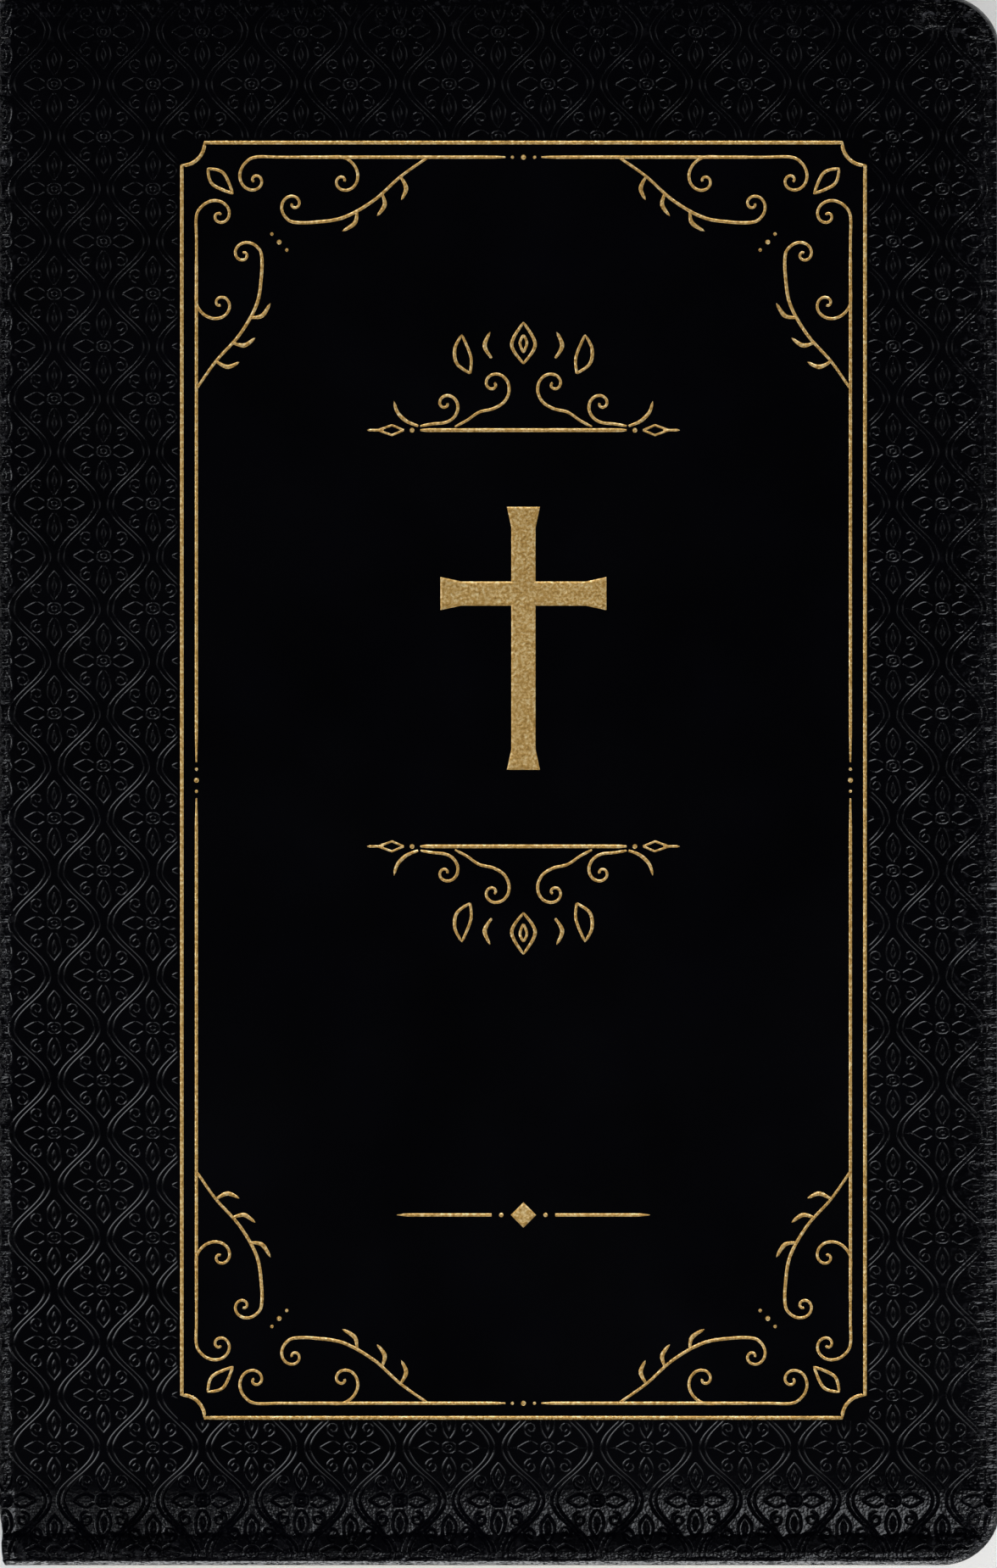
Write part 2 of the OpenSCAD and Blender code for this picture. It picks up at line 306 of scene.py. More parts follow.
def leather_material():
    """Black imitation leather: fine pebbled grain and wrinkles, with lighter specks that are rubbed wear at
    the rim, corners and a scuff, and painted sheen along the spine ridges and towards the fore-edge.
    """
    n = Nodes("black_leather")
    wear_and_sheen = n.attribute("wear_and_sheen")
    base = n.ramp(n.noise(60, 4), [(0.3, (0.0004, 0.0004, 0.0008)), (0.75, (0.0009, 0.0009, 0.0018))])
    # lighter grey specks where the mask is high: real rubbing at rim, corners and scuff, painted sheen along
    # the spine ridges and fore-edge
    rubbed_and_sheen = n.math("MULTIPLY", wear_and_sheen, n.levels(n.noise(800, 5, 0.65), 0.56, 0.70))
    # specular turned down at the bottoms of the tail's grooves: painted shade in the recesses
    n.set(Base_Color=n.mix(rubbed_and_sheen, base, (0.045, 0.045, 0.05)),
          Specular_IOR_Level=n.levels(n.attribute("groove_shade"), 0.0, 0.3, 0.42, 0.02),
          Roughness=n.levels(n.noise(35, 3), 0.3, 0.7, 0.15, 0.19))
    n.bump(n.math("MULTIPLY", n.cells(2300), n.attribute("grain")), 0.000016, 0.5)
    n.bump(n.noise(1100, 3), 0.000016, 0.5)
    wrinkle = n.noise(260, 3, 0.6, (1.0, 3.2, 1.0))
    n.bump(n.math("MULTIPLY", wrinkle, n.levels(wear_and_sheen, 0.12, 0.8)), 0.0005, 0.9)
    return n.material


def gold_material():
    """Antique gold foil over grained leather: it breaks up into bright and brown specks."""
    n = Nodes("gold_foil")
    grain = n.noise(2300, 5, 0.65)
    patch = n.noise(260, 3)
    base = n.ramp(grain, [(0.30, (0.23, 0.12, 0.022)), (0.48, (0.62, 0.365, 0.095)),
                          (0.66, (1.0, 0.80, 0.42))])
    warm = n.mix(n.levels(patch, 0.35, 0.7, 0.0, 0.35), base, (0.44, 0.25, 0.06))
    n.set(Base_Color=warm, Metallic=0.5, Roughness=n.levels(grain, 0.3, 0.7, 0.46, 0.30))
    n.bump(grain, 0.00012, 0.8)
    return n.material


def edge_gilt_material():
    """Gilded edges of the leaves, with the fine lines of single sheets."""
    n = Nodes("gilt_leaf_edges")
    sheets = n.noise(1.0, 3, 0.5, (40, 40, 9000))
    split = n.new("SeparateXYZ")
    n.link(n.new("TexCoord").outputs["Normal"], split.inputs[0])
    flat = n.math("ABSOLUTE", split.outputs[2], 0.0)
    page = n.levels(flat, 0.7, 0.9)
    gilt = n.ramp(sheets, [(0.3, (0.36, 0.235, 0.07)), (0.5, (0.62, 0.44, 0.165)), (0.7, (0.82, 0.64, 0.32))])
    fibre = n.ramp(n.noise(700, 4), [(0.3, (0.80, 0.765, 0.67)), (0.7, (0.86, 0.83, 0.74))])
    n.set(Base_Color=n.mix(page, gilt, fibre), Metallic=n.levels(flat, 0.7, 0.9, 0.75, 0.0),
          Roughness=n.levels(flat, 0.7, 0.9, 0.36, 0.72))
    n.bump(sheets, 0.00006, 0.6)
    return n.material


def paper_material(name, low, high, scale=700):
    """Matte paper with faint fibres."""
    n = Nodes(name)
    fibre = n.noise(scale, 5, 0.6)
    cloud = n.noise(30, 3)
    base = n.ramp(fibre, [(0.3, low), (0.7, high)])
    n.set(Base_Color=n.mix(n.levels(cloud, 0.3, 0.75, 0.0, 0.18), base, tuple(0.93 * c for c in low)),
          Roughness=n.levels(fibre, 0.3, 0.7, 0.68, 0.82), Specular_IOR_Level=0.3)
    n.bump(fibre, 0.00002, 0.35)
    return n.material


def cloth_material(name, low, high, scale):
    """Plain weave: two crossed sets of threads."""
    n = Nodes(name)
    weave = n.math("MULTIPLY", n.bands("Y", scale, 0.6), n.bands("Z", scale, 0.6))
    n.set(Base_Color=n.ramp(weave, [(0.15, low), (0.6, high)]), Roughness=0.75)
    n.bump(weave, 0.0001, 0.6)
    return n.material


def silk_band_material():
    """Headband silk, wound in alternate gold and black turns."""
    n = Nodes("silk_bands")
    colour = n.ramp(n.bands("Z", 145), [(0.42, (0.012, 0.011, 0.012)), (0.58, (0.52, 0.36, 0.11))])
    n.set(Base_Color=colour, Roughness=n.levels(n.noise(1200, 2), 0.3, 0.7, 0.4, 0.55), Sheen_Weight=0.3)
    n.bump(n.noise(1800, 2, stretch=(1.0, 1.0, 4.0)), 0.00006, 0.6)
    return n.material


def floor_material():
    """Pale, matte studio floor."""
    n = Nodes("pale_floor")
    base = n.ramp(n.noise(3, 2), [(0.3, (0.88, 0.88, 0.88)), (0.7, (0.91, 0.91, 0.91))])
    n.set(Base_Color=base, Roughness=n.levels(n.noise(8, 2), 0.3, 0.7, 0.75, 0.85))
    return n.material


LEATHER = leather_material()
GOLD = gold_material()
GILT = edge_gilt_material()
ENDPAPER = paper_material("endpaper", (0.66, 0.61, 0.50), (0.74, 0.69, 0.58))
LEAF = paper_material("thin_leaf", (0.78, 0.745, 0.65), (0.85, 0.82, 0.73))
KRAFT = paper_material("kraft_liner", (0.28, 0.19, 0.10), (0.38, 0.27, 0.16), 500)
BOARD = paper_material("grey_board", (0.20, 0.165, 0.12), (0.30, 0.25, 0.19), 400)
CARD = paper_material("infill_card", (0.33, 0.28, 0.2), (0.44, 0.38, 0.29), 450)
FOAM = paper_material("foam_sheet", (0.58, 0.58, 0.55), (0.68, 0.68, 0.65), 1600)
MULL = cloth_material("mull_cloth", (0.45, 0.43, 0.36), (0.78, 0.76, 0.68), 320)
THREAD = cloth_material("linen_thread", (0.6, 0.58, 0.5), (0.85, 0.83, 0.76), 900)
SILK = silk_band_material()
FLOOR = floor_material()


# ---- the leather case, unrolled
# u runs along the outside of the case: over the front cover (u = x), round the spine and under the back.
BEND_X = CORNER_X - 3.0                       # the leather's soft corner stands a little outside the hinge
BEND_R = 1.2
BULGE_X = BEND_X - 0.4
SPINE_SAG = BEND_X - BULGE_X
SPINE_R = ((BOOK_T / 2 - 1) ** 2 + SPINE_SAG ** 2) / (2 * SPINE_SAG)
STEP = 0.1
OVERRUN = 2.0                                 # the path goes on this far past each fore-edge


def case_path():
    """Outline of the case seen from the head: rows of u, x, z and the outward normal."""
    mid_z = BOOK_T / 2
    spine_cx = BULGE_X + SPINE_R
    front = np.arange(EDGE_X + OVERRUN, BEND_X + BEND_R, -STEP)
    rows = [(x, BOOK_T) for x in front]
    tilt = math.asin((mid_z - BEND_R) / SPINE_R)
    corner_start = (BEND_X + BEND_R, BOOK_T)
    spine_start = (spine_cx - SPINE_R * math.cos(tilt), mid_z + SPINE_R * math.sin(tilt))
    knee = (spine_start[0] + 0.15, BOOK_T + 0.1)
    turn = [(1 - t) ** 2 * np.array(corner_start) + 2 * t * (1 - t) * np.array(knee)
            + t * t * np.array(spine_start) for t in np.linspace(0, 1, 24)]
    rows += [tuple(p) for p in turn]
    for a in np.linspace(tilt, -tilt, 200)[1:-1]:
        rows.append((spine_cx - SPINE_R * math.cos(a), mid_z + SPINE_R * math.sin(a)))
    rows += [(p[0], BOOK_T - p[1]) for p in reversed(turn)]
    rows += [(x, 0.0) for x in front[::-1]]
    path = np.array(rows)
    keep = np.r_[True, np.linalg.norm(np.diff(path, axis=0), axis=1) > 1e-6]
    path = path[keep]
    run = np.r_[0, np.cumsum(np.linalg.norm(np.diff(path, axis=0), axis=1))]
    u = path[0, 0] - run
    d = np.gradient(path, axis=0)
    for _ in range(3):
        d[1:-1] = (d[:-2] + d[1:-1] + d[2:]) / 3
    d /= np.linalg.norm(d, axis=1, keepdims=True)
    normal = np.column_stack([d[:, 1], -d[:, 0]])
    if normal[0, 1] < 0:
        normal = -normal
    return u, path, normal


PATH_U, PATH_XZ, PATH_N = (part[::-1] for part in case_path())
U_TOP = PATH_U[-1] - OVERRUN                  # fore-edge of the front cover, where x is EDGE_X
U_END = PATH_U[0] + OVERRUN                   # fore-edge of the back cover
U_MID = (U_TOP + U_END) / 2
CASE_HALF = (U_TOP - U_END) / 2


def on_case(u, y, h):
    """Places points of the unrolled case: h is the height above its outer face."""
    x, z = (np.interp(u, PATH_U, PATH_XZ[:, k]) + h * np.interp(u, PATH_U, PATH_N[:, k]) for k in (0, 1))
    return np.column_stack([x, np.broadcast_to(y, x.shape), z])


def edge_distance(u, y):
    """Distance inward from the case's outline, whose four corners are round."""
    core_u = np.abs(u - U_MID) - (CASE_HALF - CORNER_R)
    core_y = np.abs(y) - (HALF_H - CORNER_R)
    outside = np.hypot(np.maximum(core_u, 0), np.maximum(core_y, 0))
    inside = np.minimum(np.maximum(core_u, core_y), 0)
    return CORNER_R - (outside + inside)


# How the padded cover falls away towards its edges: distance from the edge, height.
RIM = 1.2
ROLL_AT = np.array([1.2, 2.0, 3.5, 6.0, 9.0, 12.0])
ROLL_HEIGHT = np.array([-0.37, -0.25, -0.13, -0.05, -0.012, 0.0])
# Along the tail it rolls down much further, into a crease where the block of leaves starts beneath.
TAIL_AT = np.array([1.2, 1.7, 2.4, 3.2, 4.0, 4.6, 5.2, 6.4, 7.8, 9.4, 11.2, 13.5, 16.5])
TAIL_HEIGHT = np.array(
    [-0.95, -0.86, -0.81, -0.80, -0.86, -0.99, -0.90, -0.71, -0.485, -0.245, -0.06, 0.0, 0.0])
CREASE = 4.6
CREASE_CUTS = (CREASE - 0.45, CREASE, CREASE + 0.5)


def roll(u, y):
    """Height of the padded cover before its ripples and grooves."""
    rim = np.interp(edge_distance(u, y), ROLL_AT, ROLL_HEIGHT)
    return np.minimum(rim, np.interp(y + HALF_H, TAIL_AT, TAIL_HEIGHT))


# ---- debossed lattice
TILE_W, TILE_H = 14.26, 15.15
TILE_X0, TILE_Y0 = -64.8, 100.5               # the axis of a column of cells and the middle of a cell
GROOVE_W = 0.13                               # half width of a groove
GROOVE_D = 0.033                              # depth of a groove
TAIL_ROW = 13                                 # the last full row of tiles, pressed harder along the tail
TAIL_GROOVE_W = 0.33
TAIL_GROOVE_D = 0.085
HALF = TILE_W / 2


def ring(v, a, b):
    """Half an oval centred on the axis at height v."""
    return [(0, v - b), (0.72 * a, v - 0.85 * b), (a, v), (0.72 * a, v + 0.85 * b), (0, v + b)]


def volute(cx, cy, start, turns, wide, narrow=0.3):
    """Points of a scroll that winds in about a centre, from radius wide at the angle start in degrees."""
    t = np.linspace(0, 1, 4 + round(9 * abs(turns)))
    radius = wide * (narrow / wide) ** t
    angle = np.radians(start + 360 * turns * t)
    return list(zip(cx + radius * np.cos(angle), cy + radius * np.sin(angle)))


def cell(v):
    """Grooves of the figure in one cell of the lattice, right of its axis, with its middle at height v."""
    strokes = [ring(v, 1.0, 0.8), ring(v, 0.45, 0.35)]
    for s in (-1, 1):
        strokes += [
            [(0, v + 5.4 * s), (0.95, v + 4.1 * s), (0.85, v + 2.5 * s), (0.2, v + 1.4 * s)],
            [(0, v + 4.4 * s), (0.3, v + 3.4 * s), (0, v + 2.5 * s)],
            [(1.5, v + 0.45 * s), (2.6, v + 0.95 * s), (4.3, v + 0.1 * s)],
            [(x, v + y * s) for x, y in volute(2.45, 2.75, -90, 1.2, 1.15, 0.4)],
        ]
    return strokes


def ogee(inset):
    """The wavy line between two columns of cells, moved sideways by inset."""
    heights = np.linspace(-TILE_H / 8, TILE_H * 9 / 8, 16)
    return [(HALF / 2 + inset + (HALF / 2 - 0.95) * math.cos(2 * math.pi * y / TILE_H), y) for y in heights]


# A plain lattice of ogee cells, each with rings, two buds, side leaves and four scrolls; the columns are
# half a tile apart.
AXIS_GROOVES = cell(0) + cell(TILE_H) + [ogee(-0.4), ogee(0.4)]
HALF_GROOVES = cell(TILE_H / 2)               # measured back from the next column's axis


def groove_width(y, tail):
    """Half width of a groove at a height of the tile."""
    return GROOVE_W + (TAIL_GROOVE_W - GROOVE_W) * fade(np.asarray(y), 3.0, 7.0) * tail


def groove_paths():
    """Every groove that reaches the half tile, with the copies beyond its borders."""
    base = [smooth(s, 4) for s in AXIS_GROOVES]
    base += [smooth(s, 4) * (-1, 1) + (HALF, 0) for s in HALF_GROOVES]
    out = []
    for path in base:
        for mirror in (path, path * (-1, 1), path * (-1, 1) + (TILE_W, 0)):
            for shift in (-TILE_H, 0, TILE_H):
                moved = mirror + (0, shift)
                low, high = moved.min(0) - GROOVE_W, moved.max(0) + GROOVE_W
                if low[0] < HALF and high[0] > 0 and low[1] < TILE_H and high[1] > 0:
                    out.append(moved)
    return out


def distance_to_paths(points, paths):
    best = np.full(len(points), 1e9)
    for path in paths:
        for a, b in zip(path[:-1], path[1:]):
            d = b - a
            t = np.clip(((points - a) @ d) / max(d @ d, 1e-12), 0, 1)
            best = np.minimum(best, np.linalg.norm(points - (a + t[:, None] * d), axis=1))
    return best


def half_tile(spacing, grid, tail):
    """Triangles of the half tile that follow its grooves: points, faces and groove depth from 0 to 1."""
    paths = groove_paths()
    points, edges = [], []

    def chain(line, closed=False):
        start = len(points)
        points.extend(Vector(p) for p in line)
        edges.extend((start + i, start + i + 1) for i in range(len(line) - 1))
        if closed:
            edges.append((start + len(line) - 1, start))

    nx, ny = round(HALF / grid), round(TILE_H / grid)
    xs, ys = np.linspace(0, HALF, nx + 1), np.linspace(0, TILE_H, ny + 1)
    border = [(x, 0) for x in xs[:-1]] + [(HALF, y) for y in ys[:-1]]
    border += [(x, TILE_H) for x in xs[:0:-1]] + [(0, y) for y in ys[:0:-1]]
    chain(border, True)
    inner = np.array([(x, y) for x in xs[1:-1] for y in ys[1:-1]])
    inner = inner[distance_to_paths(inner, paths) > groove_width(inner[:, 1], tail) * 1.3]
    points.extend(Vector(p) for p in inner)
    for path in paths:
        line = even(path, spacing)
        width = groove_width(line[:, 1], tail)
        side = normals_2d(line) * width[:, None]
        ahead = (line[-1] - line[-2]) / np.linalg.norm(line[-1] - line[-2]) * width[-1]
        behind = (line[0] - line[1]) / np.linalg.norm(line[0] - line[1]) * width[0]
        chain(np.vstack([line + side, [line[-1] + ahead], (line - side)[::-1], [line[0] + behind]]), True)
        chain(line)
    verts, _, faces, *_ = delaunay_2d_cdt(points, edges, [], 0, 1e-4)
    verts = np.array([tuple(v) for v in verts])
    faces = np.array([f for f in faces if len(f) == 3])
    middle = verts[faces].mean(1)
    inside = (middle[:, 0] > 0) & (middle[:, 0] < HALF) & (middle[:, 1] > 0) & (middle[:, 1] < TILE_H)
    faces = faces[inside]
    used, back = np.unique(faces, return_inverse=True)
    verts, faces = verts[used], back.reshape(-1, 3)
    depth = np.clip(1 - distance_to_paths(verts, paths) / groove_width(verts[:, 1], tail), 0, 1)
    return verts, faces, depth


def lattice_sheet(u_low, u_high, spacing, grid, skip=None):
    """Tiles repeated over a stretch of the unrolled case: points u, y, faces and depth."""
    tiles = [half_tile(spacing, grid, tail) for tail in (0, 1)]
    first = math.floor((u_low - TILE_X0) / HALF)
    last = math.ceil((u_high - TILE_X0) / HALF)
    rows = range(math.floor((TILE_Y0 - HALF_H) / TILE_H), math.ceil((TILE_Y0 + HALF_H) / TILE_H))
    all_v, all_f, all_d, count = [], [], [], 0
    for column in range(first, last):
        odd = column % 2
        for row in rows:
            verts, faces, depth = tiles[row >= TAIL_ROW]
            u = (HALF - verts[:, 0] if odd else verts[:, 0]) + TILE_X0 + column * HALF
            y = TILE_Y0 - row * TILE_H - verts[:, 1]
            if skip is not None and skip(u.min(), u.max(), y.min(), y.max()):
                continue
            all_v.append(np.column_stack([u, y]))
            all_f.append((faces if odd else faces[:, ::-1]) + count)
            all_d.append(depth)
            count += len(verts)
    v, f, d = np.concatenate(all_v), np.concatenate(all_f), np.concatenate(all_d)
    key = np.round(v / 0.002).astype(np.int64)
    _, index, back = np.unique(key, axis=0, return_index=True, return_inverse=True)
    back = back.reshape(-1)
    v, d, f = v[index], d[index], back[f]
    good = (f[:, 0] != f[:, 1]) & (f[:, 1] != f[:, 2]) & (f[:, 0] != f[:, 2])
    return v, f[good], d


def to_bmesh(v, f, d):
    bm = bmesh.new()
    layer = bm.verts.layers.float.new("depth")
    used, back = np.unique(f, return_inverse=True)
    verts = [bm.verts.new((p[0], p[1], 0)) for p in v[used]]
    for vert, value in zip(verts, d[used]):
        vert[layer] = value
    for a, b, c in back.reshape(-1, 3):
        bm.faces.new((verts[a], verts[b], verts[c]))
    return bm, layer


def cut(bm, point, normal, trim=False):
    """Splits the flat sheet along a line, and may trim off what lies on the normal's side."""
    bmesh.ops.bisect_plane(
        bm, geom=bm.verts[:] + bm.edges[:] + bm.faces[:], dist=1e-5,
        plane_co=(point[0], point[1], 0), plane_no=(normal[0], normal[1], 0),
        clear_outer=trim)


def cut_outline(bm, u_low, u_high):
    """Trims a sheet to the case's rim and between two values of u, and splits it along the crease."""
    cut(bm, (0, HALF_H - RIM), (0, 1), True)
    cut(bm, (0, RIM - HALF_H), (0, -1), True)
    cut(bm, (u_high, 0), (1, 0), True)
    cut(bm, (u_low, 0), (-1, 0), True)
    for d in CREASE_CUTS:
        cut(bm, (0, d - HALF_H), (0, 1))
    radius = CORNER_R - RIM
    for end, sign in ((U_TOP, 1), (U_END, -1)):
        if not u_low - 1 < end - sign * RIM < u_high + 1:
            continue
        for side in (1, -1):
            centre = (end - sign * CORNER_R, side * (HALF_H - CORNER_R))
            for angle in np.radians(np.arange(7.5, 89, 7.5)):
                normal = (sign * math.cos(angle), side * math.sin(angle))
                cut(bm, (centre[0] + radius * normal[0], centre[1] + radius * normal[1]), normal, True)


def fade(value, low, high):
    t = np.clip((value - low) / (high - low), 0, 1)
    return t * t * (3 - 2 * t)


def panel_distance(u, y):
    """Distance outside the rectangle that the outer rule follows."""
    du = np.abs(u - PANEL_X) - PANEL_W / 2
    dy = np.abs(y) - PANEL_H / 2
    return np.hypot(np.maximum(du, 0), np.maximum(dy, 0)) + np.minimum(np.maximum(du, dy), 0)


def ripple(u, y):
    """Slow unevenness of padded leather."""
    return (0.030 * np.sin(u / 9.1 + 1.3) * np.sin(y / 12.7 + 0.4)
            + 0.018 * np.sin(u / 4.3 + y / 6.1) + 0.012 * np.sin(y / 3.7 - u / 8.3))


def surface_height(u, y, depth):
    e = edge_distance(u, y)
    out = panel_distance(u, y)
    pattern = fade(out, 0.3, 1.0) * fade(e, RIM, RIM + 0.8)
    pattern = pattern * (1 - np.exp(-((y + HALF_H - CREASE) / 0.5) ** 2))
    soft = ripple(u, y) * fade(e, RIM, 12)
    deep = GROOVE_D + (TAIL_GROOVE_D - GROOVE_D) * fade(-y, HALF_H - 13.5, HALF_H - 9.5)
    return roll(u, y) - deep * depth * pattern + soft * 0.6 - 0.03


def ragged(u, y):
    """How far the tail's crease wanders from a straight line."""
    wander = 0.22 * np.sin(u * 0.88 + 0.6) + 0.12 * np.sin(u * 2.3) + 0.08 * np.sin(u * 4.9 + 1.1)
    return wander * np.exp(-((y + HALF_H - CREASE) / 1.2) ** 2)


def wear_and_sheen_at(u, y):
    """Where the leather is rubbed and wrinkled: its outer rim, corners, a scuff and the ridge along the spine;
    the spine ridges and a band before the fore-edge also carry painted sheen, lighter colour where highlights
    fall.
    """
    e = edge_distance(u, y)
    corner = np.maximum(0, 1 - np.hypot(np.abs(u - U_MID) - CASE_HALF, np.abs(y) - HALF_H) / 14)
    # painted sheen: lighter colour along both spine ridges and in a band before the fore-edge, where
    # highlights fall
    spine_ridge_sheen = sum(np.exp(-((u - at) / 1.2) ** 2) for at in (CORNER_X - 2.0, 2 * U_MID - CORNER_X + 2.0))
    fore_edge_sheen = 0.22 * fade(u, U_TOP - 11, U_TOP - 3)
    scuff = 1.6 * np.exp(-((u - 62.0) / 2.2) ** 2 - ((y - 110.6) / 1.6) ** 2)
    return np.clip(0.55 * np.exp(-e / 2.6) + 0.5 * corner + 0.8 * spine_ridge_sheen + fore_edge_sheen + scuff, 0, 1.6)


def finish_leather(name, shape_points, faces, wear_and_sheen, depth):
    obj = make_object(name, shape_points, faces, LEATHER)
    wear_and_sheen = np.asarray(wear_and_sheen, np.float32)
    tail = fade(-np.asarray(shape_points)[:, 1], HALF_H - 15, HALF_H - 10)
    # groove depth along the tail, which turns down the leather's specular: painted shade in the grooves
    groove_shade = np.zeros(len(wear_and_sheen))
    groove_shade[:len(depth)] = depth
    for key, values in (("wear_and_sheen", wear_and_sheen), ("grain", 0.6 + 2.8 * tail), ("groove_shade", groove_shade * tail)):
        attribute = obj.data.attributes.new(key, "FLOAT", "POINT")
        attribute.data.foreach_set("value", np.asarray(values, np.float32))
    obj.data.set_sharp_from_angle(angle=math.radians(8))
    return obj


# The edge of the case, from under the sheet's rim round to the turned-in leather inside: distance from the
# outline, drop below the sheet's rim, height above the outer face, and how much the height counts over
# the drop.
INSIDE = -(COVER_T - 0.12)
EDGE_PROFILE = [
    (1.8, 0.10, 0, 0), (1.2, 0.0, 0, 0), (0.6, 0.05, 0, 0), (0.33, 0.26, -1.12, 0.25), (0.09, 0.5, -1.3, 0.8),
    (0.0, 0, -1.5, 1), (0.06, 0, -1.7, 1), (0.25, 0, -1.9, 1), (0.6, 0, -2.0, 1), (1.2, 0, INSIDE, 1),
    (3.0, 0, INSIDE, 1), (8.0, 0, INSIDE, 1), (14.0, 0, INSIDE, 1),
]


def outline_points():
    """Even points round the case's outline: corner-circle centre and outward direction."""
    out = []
    a, b = CASE_HALF - CORNER_R, HALF_H - CORNER_R
    centres = np.array([(a, b), (-a, b), (-a, -b), (a, -b)])
    facing = [(0, 1), (-1, 0), (0, -1), (1, 0)]
    for k, (start, end) in enumerate(zip(centres, np.roll(centres, -1, 0))):
        first, last = facing[k - 1], facing[k]
        for t in np.radians(np.linspace(0, 90, 13)):
            away = [f * math.cos(t) + g * math.sin(t) for f, g in zip(first, last)]
            out.append((*start, *away))
        steps = int(np.abs(end - start).sum() / 1.5)
        for i in range(1, steps):
            out.append((*(start + (end - start) * i / steps), *last))
    return np.array(out)


def edge_strip():
    """The swept edge of the whole case: rows of u, y, h for each point of the profile."""
    base = outline_points()
    rim_u = U_MID + base[:, 0] + (CORNER_R - RIM) * base[:, 2]
    rim_y = base[:, 1] + (CORNER_R - RIM) * base[:, 3]
    rim = surface_height(rim_u, rim_y, 0)
    along = np.arange(len(base))
    wave = 0.03 * np.sin(along * 0.9) + 0.02 * np.sin(along * 0.37 + 1)
    rows = []
    for e, drop, height, share in EDGE_PROFILE:
        reach = max(CORNER_R - e, 0)
        limit_u, limit_y = CASE_HALF - max(e, CORNER_R), HALF_H - max(e, CORNER_R)
        u = U_MID + np.clip(base[:, 0], -limit_u, limit_u) + reach * base[:, 2]
        y = np.clip(base[:, 1], -limit_y, limit_y) + reach * base[:, 3]
        live = 1.0 if 0 < e < RIM and share < 1 else 0.0
        rows.append(np.column_stack([u, y, (rim - drop) * (1 - share) + height * share + live * wave]))
    return np.array(rows)


def trimmed_sheet(u_low, u_high, spacing, grid, around_panel):
    """A stretch of the lattice trimmed to the rim and round the panel: points, depths and faces."""
    def covered(u0, u1, y0, y1):
        return (around_panel and u0 > PANEL_X - PANEL_W / 2 and u1 < PANEL_X + PANEL_W / 2
                and y0 > -PANEL_H / 2 and y1 < PANEL_H / 2)

    v, f, d = lattice_sheet(u_low, u_high, spacing, grid, covered)
    v = v.astype(np.float32).astype(float)
    e = edge_distance(v[:, 0], v[:, 1]) - RIM
    margin = np.minimum(np.minimum(e, v[:, 0] - u_low), u_high - v[:, 0])
    if around_panel:
        margin = np.minimum(margin, panel_distance(v[:, 0], v[:, 1]))
        corner = np.hypot(np.abs(v[:, 0] - PANEL_X) - PANEL_W / 2, np.abs(v[:, 1]) - PANEL_H / 2)
        margin = np.where(corner < 2.0, np.minimum(margin, -1e-6), margin)
    band = np.digitize(v[:, 1] + HALF_H, CREASE_CUTS)
    core = (margin[f] >= 0).all(1) & (band[f].max(1) == band[f].min(1))
    gone = (margin[f] < -3.0).all(1)
    bm, layer = to_bmesh(v, f[~core & ~gone], d)
    cut_outline(bm, u_low, u_high)
    if around_panel:
        for s in (-1, 1):
            cut(bm, (PANEL_X + s * PANEL_W / 2, 0), (1, 0))
            cut(bm, (0, s * PANEL_H / 2), (0, 1))
        inner = [face for face in bm.faces if panel_distance(*face.calc_center_median().xy) < -1e-4]
        bmesh.ops.delete(bm, geom=inner, context="FACES")
    bm.verts.index_update()
    edge_v = np.array([x.co.xy for x in bm.verts]).reshape(-1, 2)
    edge_d = np.array([x[layer] for x in bm.verts])
    edge_f = [[x.index + len(v) for x in face.verts] for face in bm.faces]
    bm.free()
    points, depths = np.vstack([v, edge_v]), np.concatenate([d, edge_d])
    faces = [list(x) for x in f[core]] + edge_f
    points, index, back = np.unique(points, axis=0, return_index=True, return_inverse=True)
    back = back.reshape(-1)
    used = np.zeros(len(points), bool)
    faces = [[int(back[i]) for i in face] for face in faces]
    for face in faces:
        used[face] = True
    number = np.cumsum(used) - 1
    return points[used], depths[index][used], [[int(number[i]) for i in face] for face in faces]


def face_out(points, faces, u, count):
    """The same faces, wound so that the first ones look away from the case."""
    p = points[np.array([f[:3] for f in faces[:count]])]
    normal = np.cross(p[:, 1] - p[:, 0], p[:, 2] - p[:, 0]).sum(0)
    out = (np.interp(u, PATH_U, PATH_N[:, 0]), 0, np.interp(u, PATH_U, PATH_N[:, 1]))
    return faces if np.dot(normal, out) > 0 else [f[::-1] for f in faces]


PANEL_GRID = (65, 121)


